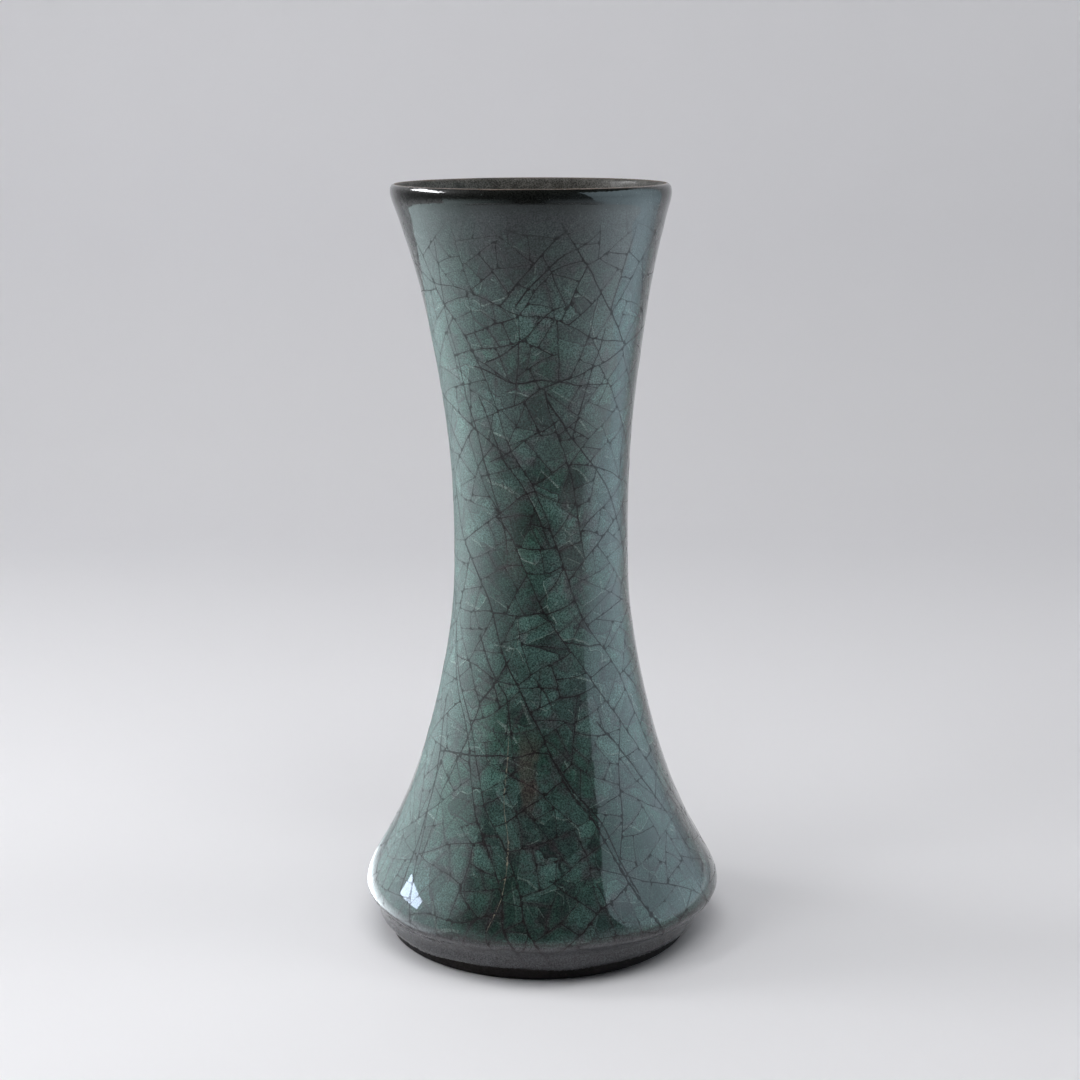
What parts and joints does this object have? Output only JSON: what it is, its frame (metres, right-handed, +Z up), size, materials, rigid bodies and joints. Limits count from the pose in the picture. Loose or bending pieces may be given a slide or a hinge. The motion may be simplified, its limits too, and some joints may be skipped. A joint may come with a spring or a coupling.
{
  "type": "vase",
  "caption": "Tall glazed stoneware vase with a wide low skirt, a concave body, a narrow waist and a trumpet mouth, in dark crackled celadon, for cut stems or display.",
  "frame": {"origin": "centre of the bounding box at table level: the widest ring is centred on the Z axis and the foot rests on z = 0", "axes": "+Z up through the vase, +X to the right as seen from the front, +Y away from the viewer"},
  "size_m": [0.1058, 0.1058, 0.22],
  "materials": {
    "dark_clay": "unglazed iron-bearing stoneware, matt, brown-black",
    "celadon_glaze": "clear glossy dark teal celadon with a crackle of long dark cracks and small flakes",
    "liner_glaze": "thin glossy grey-brown glaze with iron specks",
    "base_glaze": "glossy dark teal glaze over a thin coat"
  },
  "bodies": {
    "root": {"clay_body": "dark_clay", "outer_glaze": "celadon_glaze", "inner_glaze": "liner_glaze", "base_glaze": "base_glaze"}
  },
  "joints": []
}
